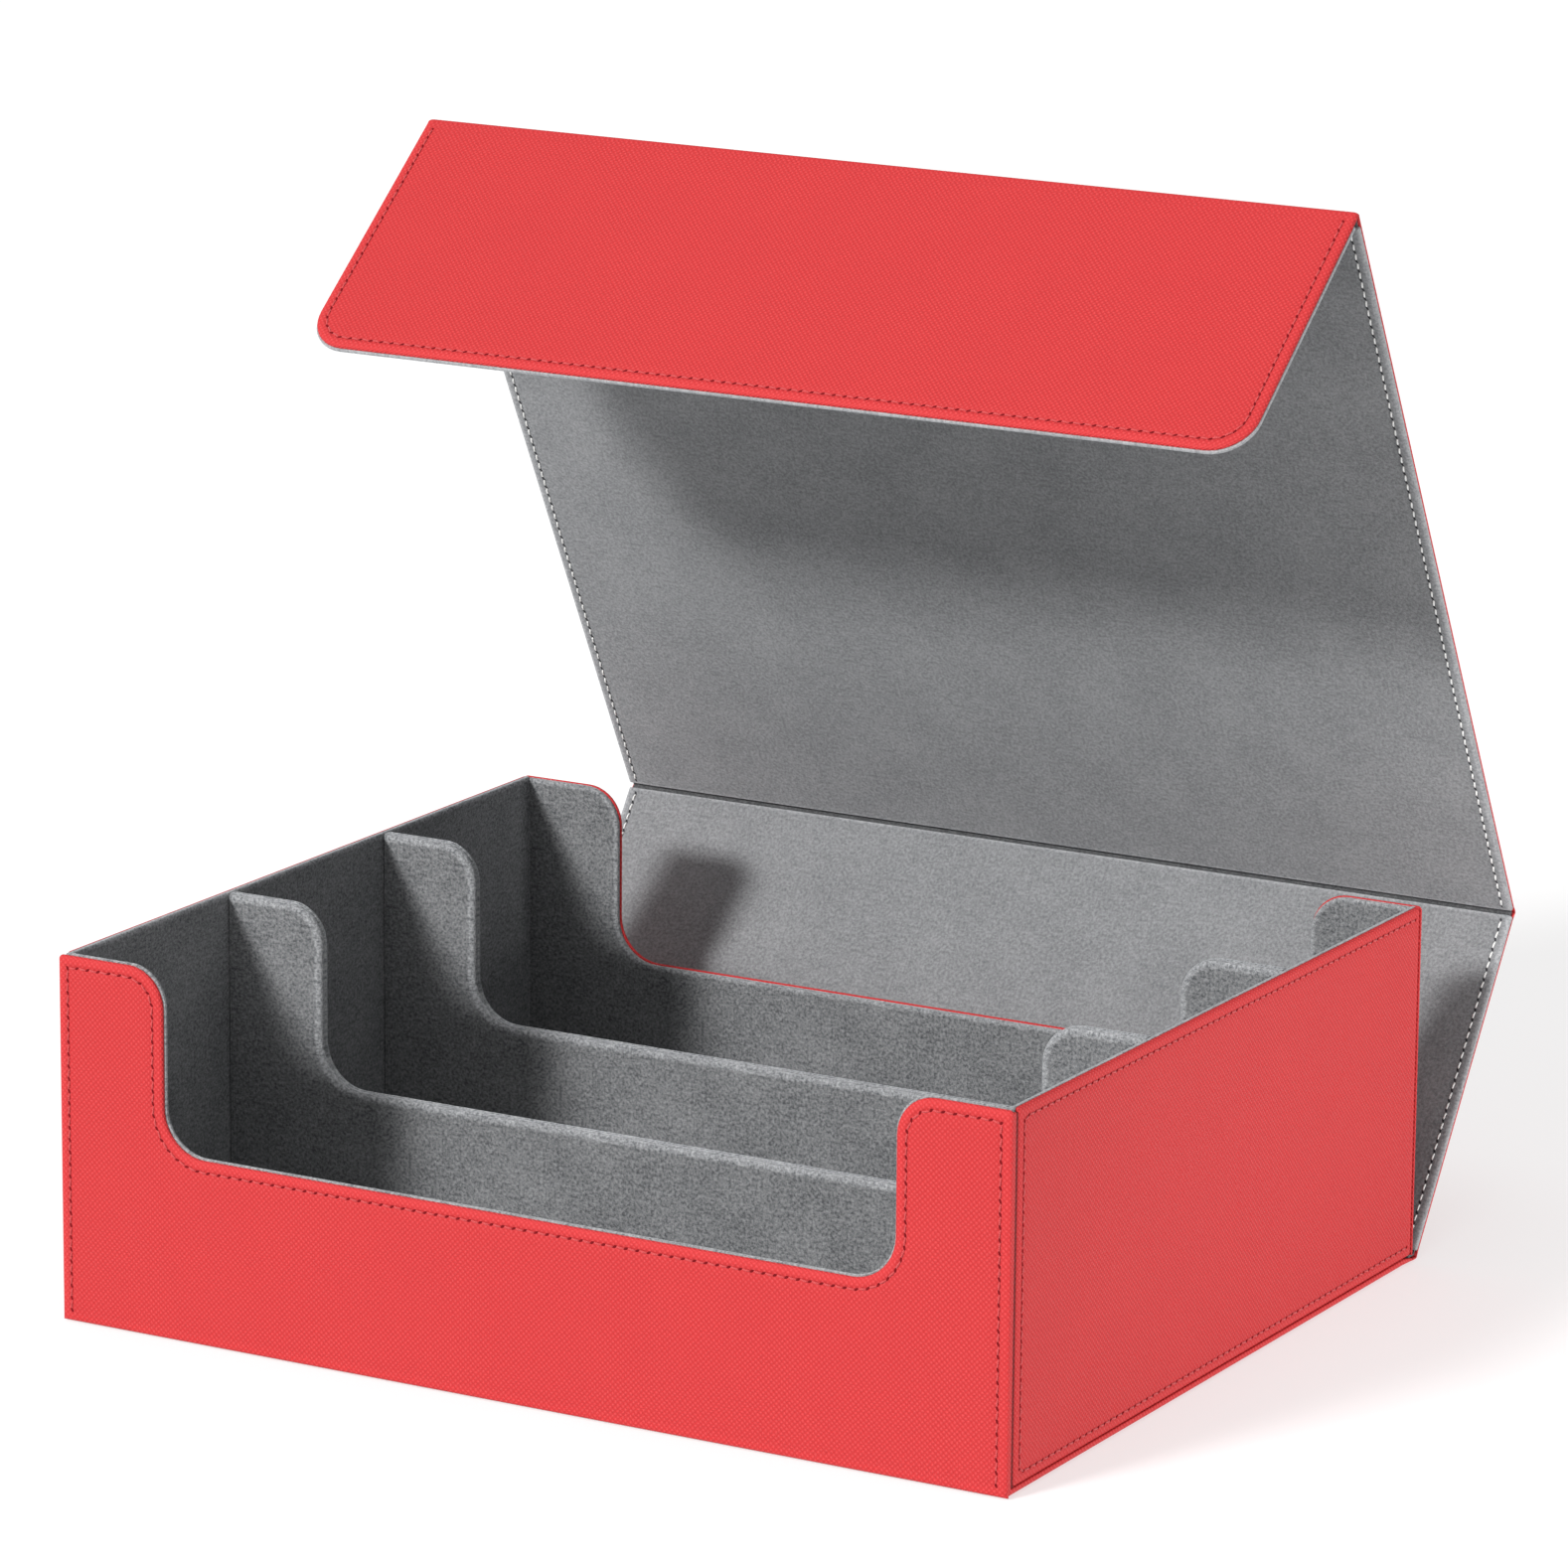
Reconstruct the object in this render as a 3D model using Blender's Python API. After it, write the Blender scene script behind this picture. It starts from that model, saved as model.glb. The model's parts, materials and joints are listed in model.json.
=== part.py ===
"""Card deck box: a leather-covered tray with three rows for trading cards, closed by a wrap-round cover.

The cover is one folded sheet: front panel, bottom, back panel, lid and magnetic flap, each a grey board
between a leather skin and a velvet lining. The tray has two side walls, a rear wall, a floor and two fixed
row dividers. The box stands open, its back panel leaning back and its lid leaning forward over the rows.

World frame: origin at the centre of the underside, +X to the right, +Y to the rear, +Z up. Lengths are in
metres. A panel's own frame has X along its hinge, Y from the hinge to its far edge and Z towards the lining.
"""

import math

import bmesh
import bpy
from mathutils import Matrix, Vector

MM = 0.001

# Outside sizes of the closed tray
WIDTH = 340 * MM
DEPTH = 280 * MM
HEIGHT = 120 * MM

# Layers of a panel, from the outside in
SKIN = 0.5 * MM
GAP = 0.3 * MM
PANEL_BOARD = 1.4 * MM
WALL_BOARD = 1.6 * MM
LINING = 0.5 * MM
PANEL = SKIN + GAP + PANEL_BOARD + GAP + LINING
WALL = SKIN + GAP + WALL_BOARD + GAP + LINING

# Row dividers: a board between two velvet faces
DIVIDER_BOARD = 2.0 * MM
VELVET = 1.1 * MM
DIVIDER = 2 * VELVET + 2 * GAP + DIVIDER_BOARD
ROWS = 3

# Cut-out that the front panel, the dividers and the rear wall share
EAR = 39 * MM
CUT_HEIGHT = 60.5 * MM
EAR_RADIUS = 13 * MM
CUT_RADIUS = 15 * MM
OUTER_RADIUS = 1.5 * MM

# Cover: distances between fold axes, and the angles of the open box
BACK_LENGTH = 121.8 * MM
LID_LENGTH = 284.6 * MM
FLAP_LENGTH = 98.1 * MM
FLAP_RADIUS = 14 * MM
BACK_LEAN = 34.6
LID_BEND = 62.3
FLAP_BEND = 101.5
HINGE_CLEARANCE = 0.5 * MM
FOLD_RADIUS = 1.2 * MM
FOLD_GAP = 1.5 * MM
LINING_FOLD_GAP = 1.8 * MM
FLAP_LINING_FOLD_GAP = 3.4 * MM

# Boards stop short of the skin's edge, and linings by half of that
BOARD_INSET = 1.0 * MM
LINING_INSET = 0.5 * MM

# Magnets set into the boards
MAGNET_RADIUS = 7 * MM
MAGNET_THICKNESS = 1.2 * MM
MAGNET_X = 95 * MM
MAGNET_FROM_EDGE = 16 * MM

# Heights of the layers under the rows
BOTTOM_BOARD_TOP = SKIN + GAP + WALL_BOARD
TRAY_BASE = BOTTOM_BOARD_TOP + GAP
FLOOR_TOP = TRAY_BASE + WALL_BOARD
ROW_FLOOR = FLOOR_TOP + GAP + LINING

ARC_STEPS = 8
ROUND_STEPS = 24

# Colour, roughness and metallic value of each material
RED_LEATHER = ((0.70, 0.065, 0.075), 0.5, 0.0)
GREY_VELVET = ((0.16, 0.165, 0.17), 0.95, 0.0)
GREY_BOARD = ((0.42, 0.38, 0.33), 0.9, 0.0)
MAGNET_STEEL = ((0.55, 0.55, 0.57), 0.3, 1.0)


def clear_scene():
    for obj in list(bpy.data.objects):
        bpy.data.objects.remove(obj, do_unlink=True)


def material(name, look):
    """A Principled material of one sub-part's own."""
    colour, roughness, metallic = look
    made = bpy.data.materials.new(name)
    made.use_nodes = True
    shader = made.node_tree.nodes["Principled BSDF"]
    shader.inputs["Base Color"].default_value = (*colour, 1.0)
    shader.inputs["Roughness"].default_value = roughness
    shader.inputs["Metallic"].default_value = metallic
    return made


def arc(centre, radius, start, end):
    """Points on an arc from one angle to another, in degrees."""
    angles = [start + (end - start) * n / ARC_STEPS for n in range(ARC_STEPS + 1)]
    return [
        (centre[0] + radius * math.cos(math.radians(a)), centre[1] + radius * math.sin(math.radians(a)))
        for a in angles
    ]


def rectangle(low_x, low_y, high_x, high_y):
    return [(low_x, low_y), (high_x, low_y), (high_x, high_y), (low_x, high_y)]


def cut_out_outline(half_width, low, high, inset):
    """A plate's outline with the shared cut-out: square below, with a round-cornered ear on each side."""
    edge = half_width - inset
    top = high - inset
    inner = WIDTH / 2 - EAR + inset
    bottom = CUT_HEIGHT - inset
    ear = EAR_RADIUS - inset
    cut = CUT_RADIUS + inset
    corner = OUTER_RADIUS
    right = [(edge, low)]
    right += arc((edge - corner, top - corner), corner, 0, 90)
    right += arc((inner + ear, top - ear), ear, 90, 180)
    right += arc((inner - cut, bottom + cut), cut, 0, -90)
    left = [(-x, y) for x, y in reversed(right)]
    return right + left


def flap_outline(start, inset):
    """The flap's outline in its own frame, round at its two free corners."""
    edge = WIDTH / 2 - inset
    end = FLAP_LENGTH - inset
    radius = FLAP_RADIUS - inset
    points = [(-edge, start), (edge, start)]
    points += arc((edge - radius, end - radius), radius, 0, 90)
    points += arc((radius - edge, end - radius), radius, 90, 180)
    return points


def add_object(name, mesh, look, parent=None, place=None):
    mesh.materials.append(material(name, look))
    obj = bpy.data.objects.new(name, mesh)
    bpy.context.scene.collection.objects.link(obj)
    obj.parent = parent
    obj.matrix_basis = place or Matrix.Identity(4)
    return obj


def slab_mesh(name, outline, low, high):
    """An outline in X and Y, extruded from low to high along Z."""
    shape = bmesh.new()
    face = shape.faces.new([shape.verts.new((x, y, low)) for x, y in outline])
    made = bmesh.ops.extrude_face_region(shape, geom=[face])
    raised = [v for v in made["geom"] if isinstance(v, bmesh.types.BMVert)]
    bmesh.ops.translate(shape, verts=raised, vec=(0, 0, high - low))
    bmesh.ops.recalc_face_normals(shape, faces=shape.faces)
    mesh = bpy.data.meshes.new(name)
    shape.to_mesh(mesh)
    shape.free()
    return mesh


def slab(name, outline, low, high, look, parent=None, place=None):
    return add_object(name, slab_mesh(name, outline, low, high), look, parent, place)


def rod(name, radius, length, look, parent):
    """A round rod along X, centred on its parent's origin."""
    shape = bmesh.new()
    bmesh.ops.create_cone(
        shape,
        cap_ends=True,
        segments=ROUND_STEPS,
        radius1=radius,
        radius2=radius,
        depth=length,
        matrix=Matrix.Rotation(math.radians(90), 4, "Y"),
    )
    mesh = bpy.data.meshes.new(name)
    shape.to_mesh(mesh)
    shape.free()
    mesh.shade_smooth()
    mesh.set_sharp_from_angle(angle=math.radians(40))
    return add_object(name, mesh, look, parent)


def disc_mesh(name, radius, low, high):
    outline = [
        (radius * math.cos(math.tau * n / ROUND_STEPS), radius * math.sin(math.tau * n / ROUND_STEPS))
        for n in range(ROUND_STEPS)
    ]
    return slab_mesh(name, outline, low, high)


def set_magnets(board, prefix, distance, middle):
    """A pair of disc magnets in holes through a board, at a distance along the board's own Y."""
    for side, x in (("left", -MAGNET_X), ("right", MAGNET_X)):
        centre = Matrix.Translation((x, distance, middle))
        half = MAGNET_THICKNESS / 2
        name = f"{prefix}_magnet_{side}"
        disc = disc_mesh(name, MAGNET_RADIUS, -half, half)
        add_object(name, disc, MAGNET_STEEL, board.parent, board.matrix_basis @ centre)
        hole = disc_mesh(name + "_hole", MAGNET_RADIUS + GAP, -2 * PANEL_BOARD, 2 * PANEL_BOARD)
        cutter = bpy.data.objects.new(name + "_hole", hole)
        bpy.context.scene.collection.objects.link(cutter)
        cutter.parent = board.parent
        cutter.matrix_basis = board.matrix_basis @ centre
        cutter.hide_render = True
        cutter.display_type = "WIRE"
        cut = board.modifiers.new(name + "_hole", "BOOLEAN")
        cut.operation = "DIFFERENCE"
        cut.solver = "EXACT"
        cut.object = cutter


def upright(y):
    """Stands a plate drawn in X and Y at a given Y: its own Y becomes up, and its own Z points to the front."""
    return Matrix.Translation((0, y, 0)) @ Matrix.Rotation(math.radians(90), 4, "X")


def add_front_panel():
    """The cover's front: leather outside, velvet inside, standing on the table with the bottom."""
    inner_face = upright(-DEPTH / 2 + PANEL)
    half = WIDTH / 2
    skin = cut_out_outline(half, 0, HEIGHT, 0)
    slab("front_panel_skin", skin, PANEL - SKIN, PANEL, RED_LEATHER, None, inner_face)
    board_outline = cut_out_outline(half, TRAY_BASE, HEIGHT, BOARD_INSET)
    low = LINING + GAP
    high = low + PANEL_BOARD
    board = slab("front_panel_board", board_outline, low, high, GREY_BOARD, None, inner_face)
    lining = cut_out_outline(half, TRAY_BASE, HEIGHT, LINING_INSET)
    slab("front_panel_lining", lining, 0, LINING, GREY_VELVET, None, inner_face)
    closed_flap_end = PANEL / 2 + BACK_LENGTH - FLAP_LENGTH
    set_magnets(board, "front_panel", closed_flap_end + MAGNET_FROM_EDGE, (low + high) / 2)


def add_bottom_panel():
    """The cover's bottom: the skin lies on the table from the front panel to the rear fold."""
    half = WIDTH / 2
    front = -DEPTH / 2 + SKIN + GAP
    rear = rear_fold_y() - FOLD_GAP
    slab("bottom_panel_skin", rectangle(-half, front, half, rear), 0, SKIN, RED_LEATHER)
    inside = half - BOARD_INSET
    board = rectangle(-inside, front, inside, rear)
    slab("bottom_panel_board", board, SKIN + GAP, BOTTOM_BOARD_TOP, GREY_BOARD)


def rear_fold_y():
    return DEPTH / 2 + HINGE_CLEARANCE + PANEL / 2


def side_place(side):
    """Stands a plate on one side of the tray: its own Y becomes up, and its own Z points to the inside."""
    turn = Matrix.Rotation(math.radians(-90 * side), 4, "Z") @ Matrix.Rotation(math.radians(90), 4, "X")
    return Matrix.Translation((side * WIDTH / 2, 0, 0)) @ turn


def side_outline(side, front, low, rear, high):
    """A rectangle between two world Y values, in the plate's own X."""
    near, far = sorted((-side * front, -side * rear))
    return rectangle(near, low, far, high)


def add_side_walls():
    """Side walls run from behind the front panel to the rear wall's skin."""
    front = -DEPTH / 2 + PANEL + GAP
    rear = DEPTH / 2 - SKIN - GAP
    lining_rear = DEPTH / 2 - WALL
    start = SKIN + GAP
    for name, side in (("left", -1), ("right", 1)):
        place = side_place(side)
        outer = side_outline(side, front, TRAY_BASE, rear, HEIGHT)
        slab(f"{name}_wall_skin", outer, 0, SKIN, RED_LEATHER, None, place)
        board = side_outline(side, front, TRAY_BASE, rear, HEIGHT - BOARD_INSET)
        slab(f"{name}_wall_board", board, start, start + WALL_BOARD, GREY_BOARD, None, place)
        lining = side_outline(side, front, FLOOR_TOP + GAP, lining_rear, HEIGHT - LINING_INSET)
        slab(f"{name}_wall_lining", lining, WALL - LINING, WALL, GREY_VELVET, None, place)


def add_rear_wall():
    """The rear wall has the same cut-out as the front; its skin closes the tray's rear corners."""
    outer_face = upright(DEPTH / 2)
    half = WIDTH / 2
    board_half = half - SKIN - GAP - WALL_BOARD - GAP
    lining_half = half - WALL
    start = SKIN + GAP
    skin = cut_out_outline(half, TRAY_BASE, HEIGHT, 0)
    slab("rear_wall_skin", skin, 0, SKIN, RED_LEATHER, None, outer_face)
    board = cut_out_outline(board_half + BOARD_INSET, TRAY_BASE, HEIGHT, BOARD_INSET)
    slab("rear_wall_board", board, start, start + WALL_BOARD, GREY_BOARD, None, outer_face)
    lining = cut_out_outline(lining_half, FLOOR_TOP + GAP, HEIGHT, LINING_INSET)
    slab("rear_wall_lining", lining, WALL - LINING, WALL, GREY_VELVET, None, outer_face)


def row_depth():
    inside = DEPTH - PANEL - WALL
    return (inside - (ROWS - 1) * DIVIDER) / ROWS


def row_front(row):
    """Y of the front of a row, counted from 0 at the front panel."""
    return -DEPTH / 2 + PANEL + row * (row_depth() + DIVIDER)


def add_dividers():
    """Fixed partitions: a board between two velvet faces, with the shared cut-out."""
    half = WIDTH / 2 - WALL - GAP
    layers = (
        ("rear_velvet", 0, VELVET, 0, GREY_VELVET),
        ("board", VELVET + GAP, VELVET + GAP + DIVIDER_BOARD, BOARD_INSET, GREY_BOARD),
        ("front_velvet", DIVIDER - VELVET, DIVIDER, 0, GREY_VELVET),
    )
    for row, name in ((1, "front_divider"), (2, "rear_divider")):
        place = upright(row_front(row))
        for layer, low, high, inset, look in layers:
            outline = cut_out_outline(half, FLOOR_TOP + GAP, HEIGHT, inset)
            slab(f"{name}_{layer}", outline, low, high, look, None, place)


def add_floor():
    """The tray's floor board, and a velvet strip for each row."""
    half = WIDTH / 2 - SKIN - GAP - WALL_BOARD - GAP
    front = -DEPTH / 2 + PANEL + GAP
    rear = DEPTH / 2 - SKIN - GAP - WALL_BOARD - GAP
    board = rectangle(-half, front, half, rear)
    slab("tray_floor_board", board, TRAY_BASE, FLOOR_TOP, GREY_BOARD)
    strip_half = WIDTH / 2 - WALL - GAP
    for row, name in enumerate(("front", "middle", "rear")):
        low = row_front(row) + GAP
        high = row_front(row) + row_depth() - GAP
        strip = rectangle(-strip_half, low, strip_half, high)
        slab(f"{name}_row_floor", strip, FLOOR_TOP + GAP, ROW_FLOOR, GREY_VELVET)


def hinge(name, parent, distance, bend):
    """An empty on a fold's axis. The panel after it is bent towards the lining by the given angle."""
    axis = bpy.data.objects.new(name, None)
    bpy.context.scene.collection.objects.link(axis)
    axis.parent = parent
    axis.matrix_basis = Matrix.Translation((0, distance, 0)) @ Matrix.Rotation(math.radians(bend), 4, "X")
    return axis


def rear_hinge():
    """The back panel's axis at the rear of the bottom. Its panel points up and back by BACK_LEAN."""
    axis = hinge("rear_hinge_axis", None, 0, 90 - BACK_LEAN)
    axis.location = Vector((0, rear_fold_y(), PANEL / 2))
    return axis


def panel_layers(name, axis, outlines):
    """Skin, board and lining of one cover panel, placed about the fold's axis in mid-thickness."""
    skin, board, lining = outlines
    half = PANEL / 2
    slab(f"{name}_skin", skin, -half, SKIN - half, RED_LEATHER, axis)
    middle = slab(f"{name}_board", board, -PANEL_BOARD / 2, PANEL_BOARD / 2, GREY_BOARD, axis)
    slab(f"{name}_lining", lining, half - LINING, half, GREY_VELVET, axis)
    return middle


def straight_outlines(length, end_lining_gap):
    """Outlines of a rectangular cover panel between two folds."""
    half = WIDTH / 2
    layers = ((0, FOLD_GAP, FOLD_GAP), (BOARD_INSET, FOLD_GAP, FOLD_GAP))
    layers += ((LINING_INSET, LINING_FOLD_GAP, end_lining_gap),)
    return [rectangle(inset - half, start, half - inset, length - end) for inset, start, end in layers]


def add_cover():
    """Back panel, lid and flap, each turning about the fold before it."""
    rear = rear_hinge()
    rod("rear_fold", FOLD_RADIUS, WIDTH, RED_LEATHER, rear)
    panel_layers("back_panel", rear, straight_outlines(BACK_LENGTH, LINING_FOLD_GAP))
    middle = hinge("lid_hinge_axis", rear, BACK_LENGTH, LID_BEND)
    rod("lid_fold", FOLD_RADIUS, WIDTH, RED_LEATHER, middle)
    panel_layers("lid", middle, straight_outlines(LID_LENGTH, FLAP_LINING_FOLD_GAP))
    front = hinge("flap_hinge_axis", middle, LID_LENGTH, FLAP_BEND)
    rod("flap_fold", FOLD_RADIUS, WIDTH, RED_LEATHER, front)
    outlines = [
        flap_outline(FOLD_GAP, 0),
        flap_outline(FOLD_GAP, BOARD_INSET),
        flap_outline(FLAP_LINING_FOLD_GAP, LINING_INSET),
    ]
    board = panel_layers("flap", front, outlines)
    set_magnets(board, "flap", FLAP_LENGTH - MAGNET_FROM_EDGE, 0)


def main():
    clear_scene()
    add_front_panel()
    add_bottom_panel()
    add_side_walls()
    add_rear_wall()
    add_dividers()
    add_floor()
    add_cover()
    bpy.context.view_layer.update()


main()
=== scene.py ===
import json
import math
from collections import namedtuple

import bmesh
import bpy
import numpy as np
from mathutils import Matrix, Vector


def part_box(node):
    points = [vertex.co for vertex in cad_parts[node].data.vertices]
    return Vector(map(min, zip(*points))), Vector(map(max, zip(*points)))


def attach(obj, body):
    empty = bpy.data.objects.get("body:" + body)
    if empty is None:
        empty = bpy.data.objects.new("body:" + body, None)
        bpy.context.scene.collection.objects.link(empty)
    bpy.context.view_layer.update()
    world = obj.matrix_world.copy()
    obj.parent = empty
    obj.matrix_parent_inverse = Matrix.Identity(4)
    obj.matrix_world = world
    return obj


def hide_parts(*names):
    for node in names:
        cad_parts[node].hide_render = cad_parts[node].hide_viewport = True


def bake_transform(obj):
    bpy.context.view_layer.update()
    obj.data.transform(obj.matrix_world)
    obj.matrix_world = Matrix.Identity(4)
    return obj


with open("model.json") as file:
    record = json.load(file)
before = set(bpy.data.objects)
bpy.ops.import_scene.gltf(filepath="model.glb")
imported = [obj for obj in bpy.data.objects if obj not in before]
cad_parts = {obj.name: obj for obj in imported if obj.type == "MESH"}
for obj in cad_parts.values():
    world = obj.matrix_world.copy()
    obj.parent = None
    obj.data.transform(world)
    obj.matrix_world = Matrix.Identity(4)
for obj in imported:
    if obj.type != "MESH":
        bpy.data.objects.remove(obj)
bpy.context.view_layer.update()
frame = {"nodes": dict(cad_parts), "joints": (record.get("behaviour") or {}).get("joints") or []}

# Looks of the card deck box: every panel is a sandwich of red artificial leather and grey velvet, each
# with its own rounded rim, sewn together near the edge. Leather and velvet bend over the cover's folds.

MM = 0.001

# Layers of a panel. PROUD and SET_BACK place the velvet's edge against the leather's
LEATHER = 1.55 * MM
VELVET_PROUD = 0.5 * MM
REAR_SET_BACK = 0.45 * MM
JOIN = 0.06 * MM

# Rims: how far the rounding reaches in from the edge, how deep it goes, and the radius on the back
Rim = namedtuple("Rim", "width depth under")
LEATHER_RIM = Rim(2.1 * MM, 1.0 * MM, 0.3 * MM)
VELVET_RIM = Rim(1.0 * MM, 0.7 * MM, 0.25 * MM)
PAD_RIM = Rim(2.0 * MM, 1.5 * MM, 0.7 * MM)
BOARD_RIM = Rim(0.6 * MM, 0.5 * MM, 0.3 * MM)
RIM_STEPS = 6
UNDER_STEPS = 3
STRIP_STEPS = 4
RIM_LEAD = 0.9 * MM
BACK_LEAD = 2.0 * MM
STRIP_LEAD = 0.15 * MM
STRIP_BACK = 0.3 * MM
FLAT = 7.0 * MM
CORNER_REACH = FLAT + MM
PUFF_INSET = 0.35 * MM
PUFF = 0.06 * MM
SOFT_RIM = 0.5

# Seams. SEAM_SHAPE has (share of the half width, share of the dip) across the dip
SEAM = 3.6 * MM
SEAM_DIP = 0.2 * MM
VELVET_SEAM_DIP = 0.12 * MM
SEAM_HALF_WIDTH = 0.8 * MM
SEAM_SHAPE = ((1.0, 0.0), (0.45, 0.55), (0.0, 1.0), (-0.45, 0.55), (-1.0, 0.0))
RED_PITCH = 4.0 * MM
GREY_PITCH = 3.65 * MM
THREAD_DEPTH = SEAM_DIP * 0.5
VELVET_THREAD_DEPTH = 0.05 * MM

# A stitch: the thread's arch as (share of its length, height in mm, share of its radius)
THREAD_RADIUS = 0.31 * MM
THREAD_SLANT = 0.22 * MM
THREAD_SIDES = 6
RISING_THREAD = ((0.08, -0.45, 0.4), (0.2, -0.1, 0.85), (0.35, 0.1, 1.0))
TOP_OF_THREAD = ((0.5, 0.16, 1.0),)

# A needle hole, as shares of HOLE
HOLE = 0.6 * MM
HOLE_SLANT = math.radians(32)
HOLE_SIDES = 8
HOLE_LENGTH = 1.6
HOLE_WIDTH = 0.72
HOLE_CROWN = 0.25
HOLE_DEPTH = 0.6

# The cut-out shared by the front panel, the dividers and the rear wall, as in the CAD outline
EAR = 39 * MM
CUT_HEIGHT = 60.5 * MM
EAR_RADIUS = 13 * MM
CUT_RADIUS = 15 * MM
OUTER_RADIUS = 1.5 * MM
FLAP_RADIUS = 14 * MM
ARC_STEPS = 10

# Gaps and overlaps in the tray
FRONT_LOW = 0.2 * MM
FRONT_LINING_MARGIN = 2.2 * MM
CORNER_GAP = 1.4 * MM
WALL_LIFT = 0.1 * MM
WALL_REAR_GAP = 0.15 * MM
WALL_RADIUS = 1.2 * MM
WALL_LINING_RADIUS = 0.8 * MM
WALL_LINING_RISE = 0.1 * MM
LINING_TUCK_FRONT = 0.9 * MM
LINING_TUCK_REAR = 1.3 * MM
REAR_LINING_DROP = 0.3 * MM
DIVIDER_GAP = 0.25 * MM
DIVIDER_SIDE_RIM = 0.2
FLOOR_RADIUS = 0.5 * MM
FLOOR_OVERLAP = 0.4 * MM

# The cover, with distances from a fold's axis along the panel. CHANNEL has (distance, dip) in mm, and
# BOTTOM_THINNING has (distance, thickness as a share of LEATHER)
CHANNEL = ((8.0, 0.0), (5.5, 0.04), (4.2, 0.22), (3.2, 0.34), (2.2, 0.26))
THINNED_DIP = 0.3 * MM
THINNING = 0.4
BOTTOM_FRONT_GAP = 0.6 * MM
BOTTOM_THINNING = ((-6 * MM, 1.2), (-3.5 * MM, 0.9), (-2 * MM, 0.6))
BOTTOM_FULL = -9 * MM
FOLD_STEPS = 10
FOLD_SHARE = 0.58
FLAP_FOLD_SHARE = 0.8
BEND_REACH = 2.5 * MM
LID_SEAM_END = 6.0 * MM
LID_FLAT_END = 3.2 * MM
FLAP_FIRST = 0.6 * MM
FLAP_START = 3.2 * MM
LINING_GAP = 1.6 * MM
FLAP_LINING_GAP = 3.4 * MM
LINING_RADIUS = 0.6 * MM
LINING_FOLD_RIM = 0.5
FLAP_LINING_RADIUS = 1.0 * MM
FLAP_LINING_PROUD = 0.3 * MM
INNER_SEAM_START = 3.2 * MM
INNER_SEAM_END = 2.0 * MM
INNER_SEAM_SHIFT = 0.4 * MM
OUTER_SEAM_END = 8.5 * MM

# Velvet creases between the linings
CREASE_STEPS = (1.2 * MM, 2.4 * MM, 4.2 * MM)
CREASE_DEPTH = 0.55 * MM
CREASE_MIDDLE = 0.6 * MM
CREASE_THICKNESS = 0.5 * MM
CREASE_RIM = 0.2 * MM
CREASE_MARGIN = 0.8 * MM

# Meshes. Points nearer than WELD become one
WELD = 0.002 * MM
SHARP_ANGLE = math.radians(50)
SHORTEST_STEP = 1e-7

# Leather: noise scales and the pitch are per millimetre of the sheet
# The grain's colours: darker valleys and lighter crests, partly the grain's own tone and partly painted
# shade and painted highlight on the beads
RED_VALLEY_AND_SHADE = (0.43, 0.022, 0.024)
RED_RIDGE_AND_HIGHLIGHT = (0.535, 0.046, 0.049)
RED_WARM_RIDGE_AND_HIGHLIGHT = (0.55, 0.048, 0.050)
RED_GRAIN = (RED_VALLEY_AND_SHADE, RED_RIDGE_AND_HIGHLIGHT, RED_WARM_RIDGE_AND_HIGHLIGHT)
# Painted highlight: the leather's colour is made this much lighter on its rounded rims
RED_RIM_PAINTED_HIGHLIGHT = 1.07
# Painted shade: the leather in the corner gaps is darkened by this share
JOINT_PAINTED_SHADE = 0.28
GRAIN_PITCH = 1.29
GRAIN_ANGLE = 45
GRAIN_DRIFTS = (2.4, 3.0)
WANDER_SCALE = 0.3
FINE_SCALE = 1.9
PATCH_SCALE = 0.035
RIDGE_SHARE = 0.7
BEAD_SHARE = 0.85
FINE_SHARE = 0.4
GRAIN_RELIEF = 0.24 * MM

# Velvet
VELVET = (0.211, 0.215, 0.221)
VELVET_SPREAD = 0.115
# Painted highlight: the velvet's colour is made this much lighter on its rounded edges
VELVET_RIM_PAINTED_HIGHLIGHT = 1.5
VELVET_SHEEN = (0.9, 0.95, 1.0, 1.0)
SPECK_SCALE = 0.95
TUFT_SCALE = 0.28
NAP_SCALE = 0.045
SPECK_SHARE = 0.8
TUFT_SHARE = 0.16
NAP_SHARE = 0.16
TUFT_RELIEF_SHARE = 0.5
PILE_RELIEF = 0.22 * MM

# Thread, needle holes and magnets
TWISTS = 7.0
TWIST_RELIEF = 0.05 * MM
RED_THREAD = ((0.42, 0.025, 0.028), (0.56, 0.05, 0.053))
GREY_THREAD = ((0.62, 0.62, 0.60), (0.92, 0.92, 0.90))
# Painted shade: the dark colours of the needle holes, made paler in places by a noise
RED_HOLE_SHADE = (0.12, 0.007, 0.009)
GREY_HOLE_SHADE = (0.03, 0.03, 0.032)
HOLE_SHADE_NOISE_SCALE = 900.0
HOLE_SHADE_NOISE_GAIN = 1.6
STEEL = ((0.42, 0.42, 0.44), (0.6, 0.6, 0.62))
BRUSHED_SCALE = 1500.0

# Stage, lights and camera
FLOOR_SIZE = 40.0
FLOOR_DROP = 0.3 * MM
FLOOR_GREY = (0.4, 0.4, 0.4, 1.0)
FLOOR_GLOW = 0.6
WHITE = (1.0, 1.0, 1.0, 1.0)
HORIZON_BAND = (0.02, 0.35)
HORIZON_STRENGTH = 0.25
SKY_STRENGTH = 0.58
KEY_DIRECTION = (-0.38, -1.0, 0.60)
KEY_TURNS = (-4.0, 0.0, 4.0)
KEY_ANGLE = 7.5
KEY_POWER = 3.45
TOP_PLACE = (0, -0.4, 2)
TOP_ANGLE = 40
TOP_POWER = 0.32
SIDE_PLACE = (0.78, 0.06, 0.05)
SIDE_TARGET = (0.17, 0.06, 0.04)
SIDE_SIZE = (0.5, 0.1)
SIDE_SPREAD = 85
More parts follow.
